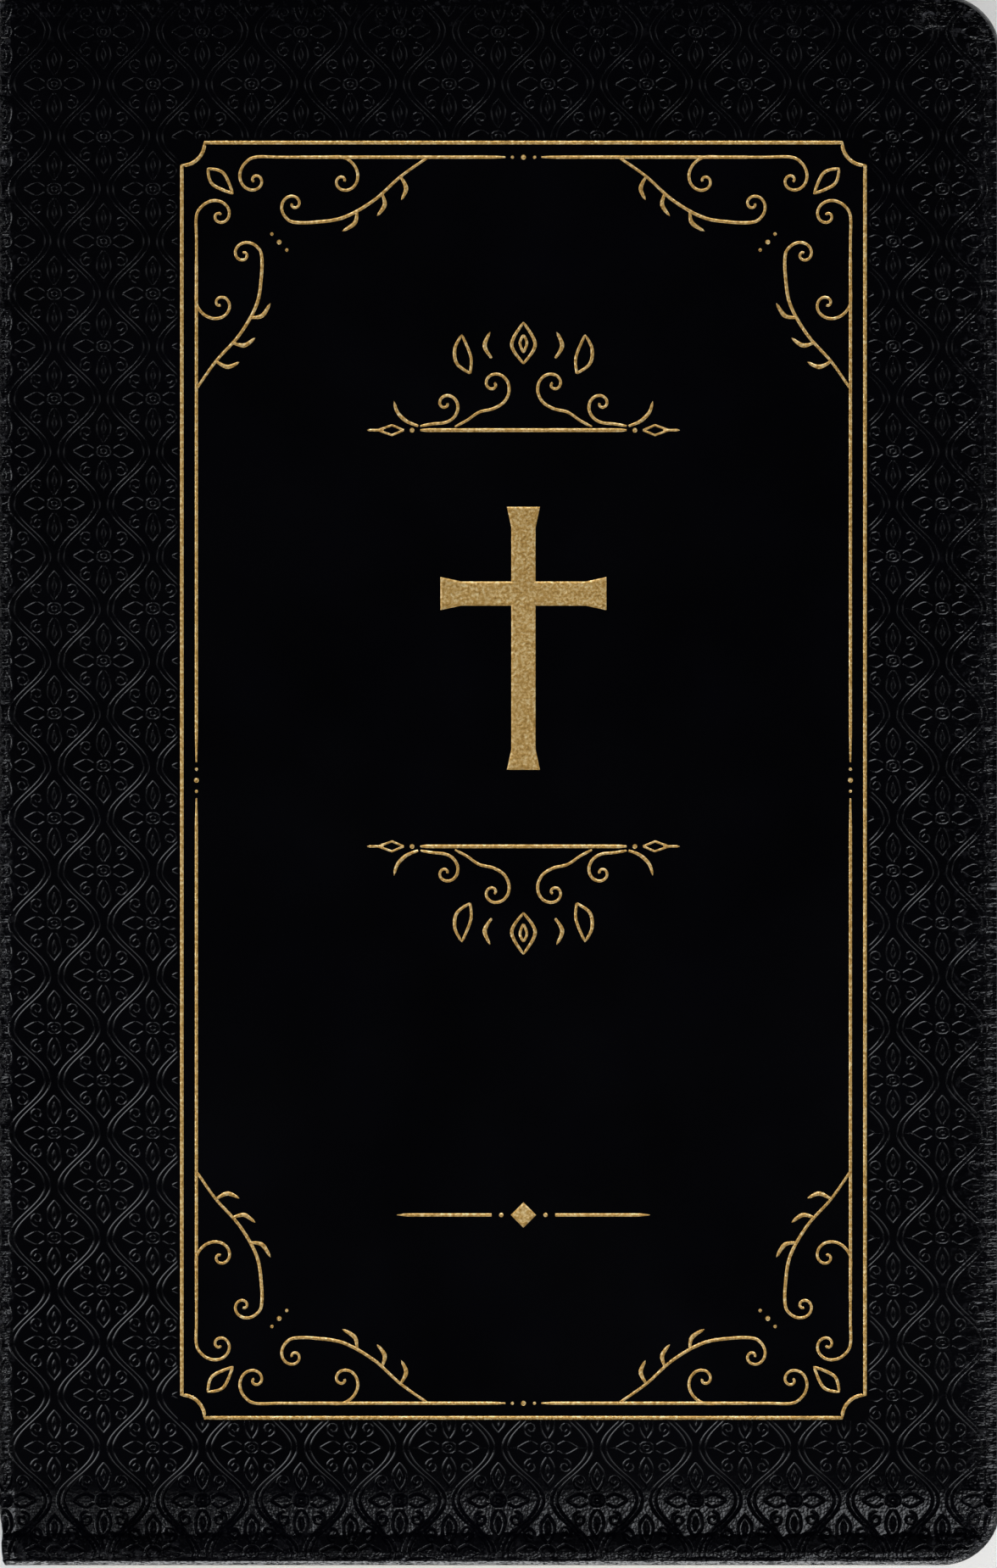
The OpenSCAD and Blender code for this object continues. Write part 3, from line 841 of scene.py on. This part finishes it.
def build_case():
    """Front cover, two joints, spine and back cover, as five pieces cut from one sheet."""
    joint_front = PLATE_X + 0.9
    spine_front = BEND_X - 0.6
    spine_rear = 2 * U_MID - spine_front
    joint_rear = 2 * U_MID - joint_front
    stretches = [
        ("front_cover_leather", joint_front, U_TOP - RIM, 0.47, 1.45),
        ("front_joint_leather", spine_front, joint_front, 0.42, 0.8),
        ("spine_leather", spine_rear, spine_front, 0.5, 1.3),
        ("rear_joint_leather", joint_rear, spine_rear, 0.5, 0.8),
        ("back_cover_leather", U_END + RIM, joint_rear, 1.2, 2.6),
    ]
    strip = edge_strip()
    pieces = {}
    for name, u_low, u_high, spacing, grid in stretches:
        front, back = name == "front_cover_leather", name == "back_cover_leather"
        uv, depth, faces = trimmed_sheet(u_low, u_high, spacing, grid, front)
        shape = Shape()
        u, y = uv.T
        points = on_case(u, y + ragged(u, y), surface_height(u, y, depth))
        shape.add(points, face_out(points, faces, (u_low + u_high) / 2, len(faces)))
        wear_and_sheen = [wear_and_sheen_at(u, y)]
        if front:
            us = np.linspace(PANEL_X - PANEL_W / 2, PANEL_X + PANEL_W / 2, PANEL_GRID[0])
            ys = np.linspace(-PANEL_H / 2, PANEL_H / 2, PANEL_GRID[1])
            gu, gy = (axis.ravel() for axis in np.meshgrid(us, ys))
            shape.grid(on_case(gu, gy, surface_height(gu, gy, 0)).reshape(len(ys), len(us), 3))
            wear_and_sheen.append(wear_and_sheen_at(gu, gy))
        add_strip(shape, wear_and_sheen, strip, U_END - 1 if back else u_low, U_TOP + 1 if front else u_high)
        pieces[name] = finish_leather(name, shape.points(), shape.faces, np.concatenate(wear_and_sheen), depth)
    return pieces, joint_front


def add_strip(shape, wear_and_sheen, strip, low, high):
    """Adds the part of the case's edge between two values of u, trimmed at both."""
    strip_u = strip[:, :, 0]
    n_rows, n_along = strip_u.shape
    faces, clipped = [], np.clip(strip_u, low, high)
    for i in range(n_rows - 1):
        for k in range(n_along):
            j = (k + 1) % n_along
            quad = strip_u[[i, i, i + 1, i + 1], [k, j, k, j]]
            if quad.max() > low + 1e-6 and quad.min() < high - 1e-6:
                faces.append((i * n_along + k, i * n_along + j, (i + 1) * n_along + j, (i + 1) * n_along + k))
    u, y, h = clipped.ravel(), strip[:, :, 1].ravel(), strip[:, :, 2].ravel()
    used, back = np.unique(np.array(faces), return_inverse=True)
    points = on_case(u[used], y[used], h[used])
    faces = [tuple(int(i) for i in f) for f in back.reshape(-1, 4)]
    level = sum(1 for f in faces if max(used[list(f)]) < 3 * n_along)
    shape.add(points, face_out(points, faces, float(np.median(u[used][:10])), level))
    wear_and_sheen.append(wear_and_sheen_at(u[used], y[used]))


case, JOINT_FRONT = build_case()
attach(case["front_cover_leather"], "front_cover")
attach(case["back_cover_leather"], "back_cover")
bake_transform(case["front_joint_leather"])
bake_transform(case["rear_joint_leather"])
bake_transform(case["spine_leather"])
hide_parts("front_leather")
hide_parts("back_leather")
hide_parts("front_hinge_leather")
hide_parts("rear_hinge_leather")
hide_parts("rear_spine_leather", "front_spine_leather")


# ---- gold tooling
FOIL_RISE = 0.10
# Across a line of foil, from edge to edge: place as a part of its width, height as a part of FOIL_RISE.
RIBBON_PROFILE = [
    (-0.5, -0.03), (-0.485, 0.9), (-0.26, 0.28), (0, 0.14), (0.26, 0.28), (0.485, 0.9), (0.5, -0.03),
]
LINE_W = 0.37
CORNER_RULE = 17.0                            # from the panel's corner to where the inner rule ends


def foil_height(x, y):
    return BOOK_T + surface_height(np.atleast_1d(x), np.atleast_1d(y), np.zeros(np.size(x)))


def ribbon(shape, path, width, closed=False):
    """A line of foil pressed along a path; width is a number or one number for each point."""
    width = np.broadcast_to(np.asarray(width, float), (len(path),))
    side = normals_2d(path)
    if closed:
        d = np.roll(path, -1, 0) - np.roll(path, 1, 0)
        d /= np.maximum(np.linalg.norm(d, axis=1, keepdims=True), 1e-9)
        side = np.column_stack([-d[:, 1], d[:, 0]])
    rows = []
    for across, up in RIBBON_PROFILE:
        xy = path + side * (across * width)[:, None]
        z = foil_height(xy[:, 0], xy[:, 1]) + up * FOIL_RISE * np.minimum(width / 0.4, 1.0)
        rows.append(np.column_stack([xy, z]))
    shape.grid(rows[:2], close_v=closed, flip=True)
    shape.grid(rows[1:-1], close_v=closed, flip=True)
    shape.grid(rows[-2:], close_v=closed, flip=True)


def dot(shape, x, y, r):
    """A small domed spot of foil."""
    turns = np.linspace(0, 2 * math.pi, 17)[:-1]
    z = foil_height(x, y)[0]
    rings = []
    for k, up in ((1, -0.03), (0.95, 1.0), (0.6, 0.3), (0.02, 0.15)):
        level = np.full(16, z + FOIL_RISE * up)
        rings.append(np.column_stack([x + r * k * np.cos(turns), y + r * k * np.sin(turns), level]))
    shape.grid(rings, close_v=True)


def tapered(count, base, swell, start, end):
    """Widths of a pen stroke: thin ends, with a swell in the middle."""
    t = np.linspace(0, 1, count)
    ends = np.minimum(1, np.minimum(start + t / 0.12, end + (1 - t) / 0.12))
    return base * ends * (1 + swell * np.sin(math.pi * t) ** 2)


def pen(shape, points, swell, start, end, place):
    """A stroke through points, which place() moves to where it belongs."""
    path = place(even(smooth(points, 10), 0.16))
    ribbon(shape, path, tapered(len(path), LINE_W, swell, start, end))


def segment(a, b, spacing):
    return even(np.array([a, b], float), spacing)


def outer_rule():
    shape = Shape()
    w, h, r = PANEL_W / 2, PANEL_H / 2, NOTCH_R
    loop = []
    arc = np.radians(np.linspace(0, 90, 11))
    for sx, sy in ((1, 1), (-1, 1), (-1, -1), (1, -1)):
        bite = [(sx * (w - r * math.cos(t)), sy * (h - r * math.sin(t))) for t in arc]
        if sx * sy > 0:
            bite = [(sx * (w - r * math.sin(t)), sy * (h - r * math.cos(t))) for t in arc]
        loop.append(np.array(bite))
    path = []
    for i, bite in enumerate(loop):
        path.append(bite)
        path.append(segment(bite[-1], loop[(i + 1) % 4][0], 1.5)[1:-1])
    ribbon(shape, np.concatenate(path) + (PANEL_X, 0), RULE_W, closed=True)
    return shape.build("foil_outer_rule_line", GOLD)


def inner_rule():
    """Four thin rules, each broken by three dots and ending where the corners' scrolls begin."""
    shape = Shape()
    w, h = PANEL_W / 2 - RULE_GAP, PANEL_H / 2 - RULE_GAP
    half_break, reach = 2.6, CORNER_RULE - RULE_GAP
    dot_gap = 1.6
    for sx in (-1, 1):
        for sy in (-1, 1):
            for a, b in (((half_break, h), (w - reach, h)), ((w, half_break), (w, h - reach))):
                path = segment(a, b, 1.5) * (sx, sy) + (PANEL_X, 0)
                ribbon(shape, path, tapered(len(path), 0.44, 0, 0.5, 1.0))
    for s in (-1, 1):
        for k, r in ((-1, 0.24), (0, 0.36), (1, 0.24)):
            dot(shape, PANEL_X + s * w, dot_gap * k, r)
            dot(shape, PANEL_X + dot_gap * k, s * h, r)
    return shape.build("foil_inner_rule_line", GOLD)


# Half of a corner's scrollwork, from the outer corner of the panel inwards; the other half mirrors it
# across the corner's diagonal. Each entry: points, swell, start taper, end taper.
CORNER_STROKES = [
    ([(RULE_GAP, 17.2), (RULE_GAP, 14.0)] + volute(RULE_GAP + 3.3, 10.6, 180, 1.4, 3.3), 0.1, 1.0, 0.9),
    ([(RULE_GAP, 18.0), (RULE_GAP, 20.5)] + volute(RULE_GAP + 3.4, 23.2, 180, -1.3, 3.4), 0.1, 0.6, 0.9),
    ([(RULE_GAP, 35.6), (4.9, 31.6), (8.3, 27.8), (10.8, 23.4), (11.5, 19.2)]
     + volute(8.9, 16.2, 0, -1.3, 2.6), 0.25, 0.8, 0.9),
    ([(3.7, 3.7), (4.4, 6.0), (7.4, 7.4)], 0.2, 0.4, 0.4),
    ([(9.9, 25.3), (11.6, 25.0), (12.8, 23.2)], 0.6, 1.0, 0.1),
    ([(7.3, 28.9), (9.0, 29.3), (10.6, 28.2)], 0.6, 1.0, 0.1),
    ([(4.9, 31.6), (6.6, 32.4), (8.3, 31.7)], 0.6, 1.0, 0.1),
]
CORNER_DOTS = [(13.0, 13.2, 0.25), (14.05, 14.35, 0.35), (15.15, 15.5, 0.25)]


def corners():
    shape = Shape()
    for sx in (-1, 1):
        for sy in (-1, 1):
            def place(path, swap=False):
                path = path[:, ::-1] if swap else path
                return np.array([PANEL_X + sx * PANEL_W / 2, sy * PANEL_H / 2]) - path * (sx, sy)

            for points, swell, start, end in CORNER_STROKES:
                for swap in (False, True):
                    pen(shape, points, swell, start, end, lambda p, w=swap: place(p, w))
            for x, y, r in CORNER_DOTS:
                at = place(np.array([[x, y]]))[0]
                dot(shape, at[0], at[1], r)
    return shape.build("foil_corner_scrolls", GOLD)


# Right half of the crest, from its middle outwards and up from its bar.
CREST_STROKES = [
    ([(9.9, 0.5), (8.2, 1.4), (6.4, 2.6)] + volute(4.4, 6.6, -90, -1.4, 3.5), 0.15, 0.6, 0.9),
    ([(14.9, 0.6), (13.2, 0.9)] + volute(11.3, 3.8, -90, -1.3, 2.7), 0.15, 0.6, 0.9),
    ([(0, 9.6), (1.7, 12.4), (0, 15.6)], 0.3, 0.5, 0.4),
    ([(0, 11.2), (0.5, 12.6), (0, 13.8)], 0.0, 0.5, 0.4),
    ([(7.7, 8.2), (9.6, 9.6), (9.9, 11.8), (8.9, 13.8)], 0.3, 0.7, 0.3),
    ([(7.7, 8.2), (7.6, 10.6), (8.9, 13.8)], 0.1, 0.7, 0.3),
    ([(4.6, 10.4), (5.6, 12.2), (4.8, 14.2)], 0.6, 0.7, 0.1),
    ([(15.2, 0.6), (16.9, 1.3), (18.2, 2.6), (18.7, 4.2)], 0.4, 0.7, 0.1),
]


def crest(name, bar_y, up):
    """A crest of scrolls on a thin bar, standing up or hanging down."""
    bar_end, dot_at, lozenge, lozenge_h = 14.9, 16.1, (17.3, 19.0, 21.0), 0.72
    tail_start, tail_end = 20.2, 22.6
    shape = Shape()
    for side in (-1, 1):
        def place(path):
            return path * (side, up) + (PANEL_X, bar_y)

        for points, swell, start, end in CREST_STROKES:
            pen(shape, points, swell, start, end, place)
        bar = segment((0, 0), (bar_end, 0), 0.8)
        ribbon(shape, place(bar), tapered(len(bar), 0.52, 0, 1.0, 0.5))
        tail = segment((tail_start, 0), (tail_end, 0), 0.4)
        ribbon(shape, place(tail), tapered(len(tail), 0.34, 0, 0.9, 0.1))
        for tip in ((lozenge[1], lozenge_h), (lozenge[1], -lozenge_h)):
            edge = np.vstack([segment((lozenge[0], 0), tip, 0.3), segment(tip, (lozenge[2], 0), 0.3)[1:]])
            ribbon(shape, place(edge), 0.3)
        at = place(np.array([[dot_at, 0.0]]))[0]
        dot(shape, at[0], at[1], 0.34)
    return shape.build(name, GOLD)


def plate(shape, outline):
    """A flat figure pressed into the leather; outline runs anticlockwise."""
    outline = np.asarray(outline, float)
    ahead, behind = np.roll(outline, -1, 0) - outline, outline - np.roll(outline, 1, 0)
    a = ahead / np.linalg.norm(ahead, axis=1, keepdims=True)
    b = behind / np.linalg.norm(behind, axis=1, keepdims=True)
    inward = np.column_stack([-(a + b)[:, 1], (a + b)[:, 0]])
    inward /= np.maximum(np.sum(inward * np.column_stack([-a[:, 1], a[:, 0]]), 1), 0.3)[:, None]
    rings = []
    for inset, up in ((0, -0.03), (0.02, 1.0), (0.14, 0.5), (0.3, 0.2)):
        xy = outline + inward * inset
        rings.append(np.column_stack([xy, foil_height(xy[:, 0], xy[:, 1]) + up * FOIL_RISE]))
    shape.grid(rings, close_v=True)
    shape.cap(rings[-1])


def cross():
    """A plain Latin cross with flared ends."""
    low, high = cad_box("foil_cross")
    shape = Shape()
    bar, flare, flare_length = 1.75, 0.65, 3.0
    cx = (low[0] + high[0]) / 2
    arm_y = (low[1] + high[1]) / 2 + (high[1] - low[1]) * 0.17
    outline = []
    for quarter, reach in enumerate((high[0] - cx, high[1] - arm_y, cx - low[0], arm_y - low[1])):
        neck, tip = reach - flare_length, bar + flare
        arm = [(neck, -bar), (reach, -tip), (reach, tip), (neck, bar), (bar, bar)]
        for _ in range(quarter):
            arm = [(-y, x) for x, y in arm]
        outline += [(cx + x, arm_y + y) for x, y in arm]
    plate(shape, outline)
    return shape.build("foil_cross_plate", GOLD, smooth_faces=False)


def divider():
    """A thin rule with a diamond in the middle and small dots."""
    low, high = cad_box("foil_divider")
    shape = Shape()
    y, half = (low[1] + high[1]) / 2, (high[0] - low[0]) / 2
    dot_at, line_start, r = 3.2, 4.6, 1.85
    for side in (-1, 1):
        line = segment((PANEL_X + side * line_start, y), (PANEL_X + side * half, y), 0.8)
        ribbon(shape, line, tapered(len(line), 0.46, 0, 1.0, 0.15))
        dot(shape, PANEL_X + side * dot_at, y, 0.32)
    diamond = [(PANEL_X + r, y), (PANEL_X, y + r), (PANEL_X - r, y), (PANEL_X, y - r)]
    plate(shape, diamond)
    return shape.build("foil_divider_line", GOLD, smooth_faces=False)


HEAD_BAR = cad_box("foil_headpiece")[0][1] + 0.25
TAIL_BAR = cad_box("foil_tailpiece")[1][1] - 0.25
tooling = [
    (outer_rule(), "foil_outer_rule"),
    (inner_rule(), "foil_inner_rule"),
    (corners(), "foil_corners"),
    (crest("foil_head_crest", HEAD_BAR, 1), "foil_headpiece"),
    (crest("foil_tail_crest", TAIL_BAR, -1), "foil_tailpiece"),
    (cross(), "foil_cross"),
    (divider(), "foil_divider"),
]
for piece, node in tooling:
    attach(piece, "front_cover")
    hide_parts(node)


# ---- block of leaves
LEAF_R = 7.0
LEAF_H = cad_box("rear_section_4")[1][1] * 2
LAYERS_EACH = 6                               # layers that stand for one section


def section_edges(nodes):
    """Fold and fore-edge positions against height, from the CAD sections."""
    rows = []
    for node in nodes:
        low, high = cad_box(node)
        rows.append(((low[2] + high[2]) / 2, low[0], high[0], low[2], high[2]))
    return np.array(rows)


def page_loop(x0, x1, h, r=LEAF_R, arc=9, across=14, along=22, fold=22):
    """Outline of a leaf, anticlockwise from the fold's tail end; the last four count each stretch's points."""
    turn = np.radians(np.linspace(0, 90, arc))
    out = [(x0, -h / 2)]
    out += [(x, -h / 2) for x in np.linspace(x0, x1 - r, across)[1:-1]]
    out += [(x1 - r + r * math.sin(t), -h / 2 + r - r * math.cos(t)) for t in turn]
    out += [(x1, y) for y in np.linspace(-h / 2 + r, h / 2 - r, along)[1:-1]]
    out += [(x1 - r + r * math.cos(t), h / 2 - r + r * math.sin(t)) for t in turn]
    out += [(x, h / 2) for x in np.linspace(x1 - r, x0, across)[1:-1]]
    out += [(x0, h / 2)]
    out += [(x0, y) for y in np.linspace(h / 2, -h / 2, fold)[1:-1]]
    return np.array(out)


def text_block(name, nodes):
    """The sewn sections as thin layers of leaves, each a little out of line with the next."""
    rows = section_edges(nodes)
    fit = np.polyfit(rows[:, 0], rows[:, 1], 2)
    fit_edge = np.polyfit(rows[:, 0], rows[:, 2], 2)
    rings = []
    low, high = rows[:, 3].min(), rows[:, 4].max()
    count = len(nodes) * LAYERS_EACH
    levels = np.linspace(low, high, count + 1)
    for i in range(count):
        first = i % LAYERS_EACH == 0
        for part, back in ((0.0, 0.13 if first else 0.07), (0.18, 0.0), (0.82, 0.0), (1.0, 0.07)):
            z = levels[i] + part * (levels[i + 1] - levels[i])
            if part == 0.0:
                shift = RNG.normal(0, 0.035, 2)
            x0 = np.polyval(fit, z) + back
            x1 = np.polyval(fit_edge, z) - back + shift[0] - 0.05
            loop = page_loop(x0, x1, LEAF_H - 2 * back + min(shift[1], 0.0))
            rings.append(np.column_stack([loop, np.full(len(loop), z)]))
    shape = Shape()
    shape.grid(rings, close_v=True)
    shape.cap(rings[0], flip=True)
    shape.cap(rings[-1])
    block = shape.build(name, GILT, smooth_faces=False)
    clean_closed(block)
    return block


def clean_closed(obj):
    bm = bmesh.new()
    bm.from_mesh(obj.data)
    bmesh.ops.remove_doubles(bm, verts=bm.verts, dist=1e-7)
    bmesh.ops.recalc_face_normals(bm, faces=bm.faces)
    bm.to_mesh(obj.data)
    bm.free()


def leaf_sheet(name, node, material):
    """A leaf, or a few together, as a thin closed sheet on a grid that is finer near the fold."""
    low, high = cad_box(node)
    x0, x1 = low[0], high[0] - 0.1
    z0, z1 = low[2], high[2]
    r = LEAF_R
    near = np.linspace(0, 12, 25)[:-1] + x0
    far = np.linspace(x0 + 12, x1 - r, 40)[:-1]
    tip = x1 - r + r * np.sin(np.radians(np.linspace(0, 90, 10)))
    xs = np.concatenate([near, far, tip])
    half = LEAF_H / 2 - 0.15
    ends = np.where(xs < x1 - r, half, half - r + np.sqrt(np.maximum(r * r - (xs - x1 + r) ** 2, 0)))
    t = np.linspace(-1, 1, 41)
    top = np.array([[(x, e * v, z1) for v in t] for x, e in zip(xs, ends)])
    under = top - (0, 0, z1 - z0)
    shape = Shape()
    shape.grid(top, flip=True)
    shape.grid(under)
    for a, b in ((top[0], under[0]), (under[-1], top[-1]),
                 (under[:, 0], top[:, 0]), (top[:, -1], under[:, -1])):
        shape.grid([a, b])
    sheet = shape.build(name, material)
    clean_closed(sheet)
    sheet.data.materials.append(GILT if material is LEAF else material)
    for polygon in sheet.data.polygons:
        polygon.use_smooth = abs(polygon.normal.z) > 0.5
        polygon.material_index = 0 if polygon.use_smooth else 1
    return sheet


rear_nodes = [f"rear_section_{i}" for i in range(1, 8)]
front_nodes = [f"front_section_{i}" for i in range(1, 7)]
for name, nodes, body in (("rear_text_block", rear_nodes, "rear_block"),
                          ("front_text_block", front_nodes, "front_block")):
    block = text_block(name, nodes)
    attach(block, body)
    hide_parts(*nodes)

for name, node, parent, body, material, slot, reach in (
        ("right_opening_leaves", "right_leaves", "rear_block", "right_leaf_group", LEAF, "bible_paper", 7.0),
        ("left_opening_leaves", "left_leaves", "rear_block", "left_leaf_group", LEAF, "bible_paper", 7.0),
        ("front_flyleaf_sheet", "front_flyleaf", "front_block", "front_flyleaf_turner",
         ENDPAPER, "endpaper", 5.5),
        ("presentation_sheet", "presentation_leaf", "front_block", "presentation_turner",
         ENDPAPER, "endpaper", 5.5)):
    sheet = leaf_sheet(name, node, material)
    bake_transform(sheet)
    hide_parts(node)


# ---- head and tail bands
def band(name, node):
    """A rolled band wound with silk: a ribbed roll."""
    low, high = cad_box(node)
    cx, cy = (low[0] + high[0]) / 2, (low[1] + high[1]) / 2
    radius = (high[0] - low[0]) / 2
    levels = np.linspace(low[2], high[2], 120)
    turns = np.linspace(0, 2 * math.pi, 21)[:-1]
    rows = []
    for z in levels:
        end = min(1.0, (min(z - low[2], high[2] - z) + 0.15) / 0.5) ** 0.5
        r = radius * (0.90 + 0.08 * math.cos(z * 2 * math.pi / 0.55)) * end
        rows.append(np.column_stack([cx + r * np.cos(turns), cy + r * np.sin(turns), np.full(20, z)]))
    shape = Shape()
    shape.grid(rows, close_v=True)
    shape.cap(rows[0], flip=True)
    shape.cap(rows[-1])
    roll_piece = shape.build(name, SILK)
    clean_closed(roll_piece)
    return roll_piece


for node, body in (("rear_headband", "rear_block"), ("rear_tailband", "rear_block"),
                   ("front_headband", "front_block"), ("front_tailband", "front_block")):
    piece = band(node + "_roll", node)
    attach(piece, body)
    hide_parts(node)


# ---- padding, thinner towards the cover's edges
def padding_sheet(name, node, front):
    """Foam that thins out where the leather rolls down to the crease."""
    low = cad_box(node)[0]
    rings = []
    for inset, up in ((5.3, -1.1), (5.6, -1.08), (7.0, -0.96), (9.0, -0.86), (12.0, -0.76), (15.0, -0.71)):
        loop = page_loop(low[0] + 0.02 * inset, EDGE_X - inset, 2 * (HALF_H - inset),
                         max(CORNER_R - inset, 0.4), 7, 12, 20, 2)
        z = BOOK_T + up if front else -up
        rings.append(np.column_stack([loop, np.full(len(loop), z)]))
    shape = Shape()
    shape.grid(rings, close_v=True)
    shape.cap(rings[0])
    shape.cap(rings[-1])
    piece = shape.build(name, FOAM, smooth_faces=False)
    clean_closed(piece)
    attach(piece, "front_cover" if front else "back_cover")
    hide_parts(node)


padding_sheet("front_padding_sheet", "front_padding", True)
padding_sheet("back_padding_sheet", "back_padding", False)


# ---- CAD pieces that keep their shape
KEPT = {
    "board": BOARD, "infill": CARD, "pastedown": ENDPAPER, "flyleaf": ENDPAPER,
    "liner": KRAFT, "mull": MULL, "stitches": THREAD,
}
for name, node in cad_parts.items():
    for word, material in KEPT.items():
        if word in name:
            node.data.materials.clear()
            node.data.materials.append(material)


# ---- floor and light
def make_floor():
    bpy.ops.mesh.primitive_plane_add(size=6, location=(0, 0, 0))
    floor = bpy.context.object
    floor.name = "floor"
    floor.data.materials.append(FLOOR)


def make_light(name, place, size, power, colour):
    """A soft rectangular light that faces the book."""
    data = bpy.data.lights.new(name, "AREA")
    data.shape = "RECTANGLE"
    data.size, data.size_y = size
    data.energy = power
    data.color = colour
    light = bpy.data.objects.new(name, data)
    bpy.context.scene.collection.objects.link(light)
    light.location = place
    light.rotation_euler = (-Vector(place)).to_track_quat("-Z", "Y").to_euler()


def make_world():
    world = bpy.data.worlds.new("studio")
    bpy.context.scene.world = world
    world.use_nodes = True
    tree = world.node_tree
    place = tree.nodes.new("ShaderNodeTexCoord")
    split = tree.nodes.new("ShaderNodeSeparateXYZ")
    ramp = tree.nodes.new("ShaderNodeValToRGB")
    stops = [(0.0, 0.75), (0.30, 0.60), (0.50, 0.12), (0.65, 0.02), (1.0, 0.006)]
    set_stops(ramp.color_ramp, [(at, (value * 0.93, value * 0.97, value)) for at, value in stops])
    tree.links.new(place.outputs["Generated"], split.inputs[0])
    tree.links.new(split.outputs[2], ramp.inputs["Fac"])
    tree.links.new(ramp.outputs["Color"], tree.nodes["Background"].inputs["Color"])


make_floor()
make_light("tail_strip", (0.36, -0.60, 1.25), (0.62, 0.30), 3.0, (0.92, 0.95, 1.0))
make_light("tail_left", (-0.46, -0.58, 1.25), (0.55, 0.30), 0.7, (0.92, 0.95, 1.0))
make_light("side_left", (-0.66, 0.1, 1.2), (0.22, 0.8), 0.35, (0.92, 0.95, 1.0))
make_light("side_right", (0.66, 0.2, 1.2), (0.22, 0.7), 0.12, (0.92, 0.95, 1.0))
make_light("tail_soft", (0.0, -2.8, 1.64), (2.7, 0.77), 80, (0.97, 0.98, 1.0))
make_light("head_soft", (-0.2, 2.8, 1.4), (3.0, 0.8), 20, (1.0, 0.99, 0.97))
make_light("fore_soft", (2.8, 0.2, 1.5), (0.8, 2.6), 32, (0.95, 0.97, 1.0))
make_light("spine_soft", (-2.8, 0.2, 1.5), (0.8, 2.6), 6, (1.0, 1.0, 1.0))
make_world()
bpy.context.scene.view_settings.view_transform = "Standard"
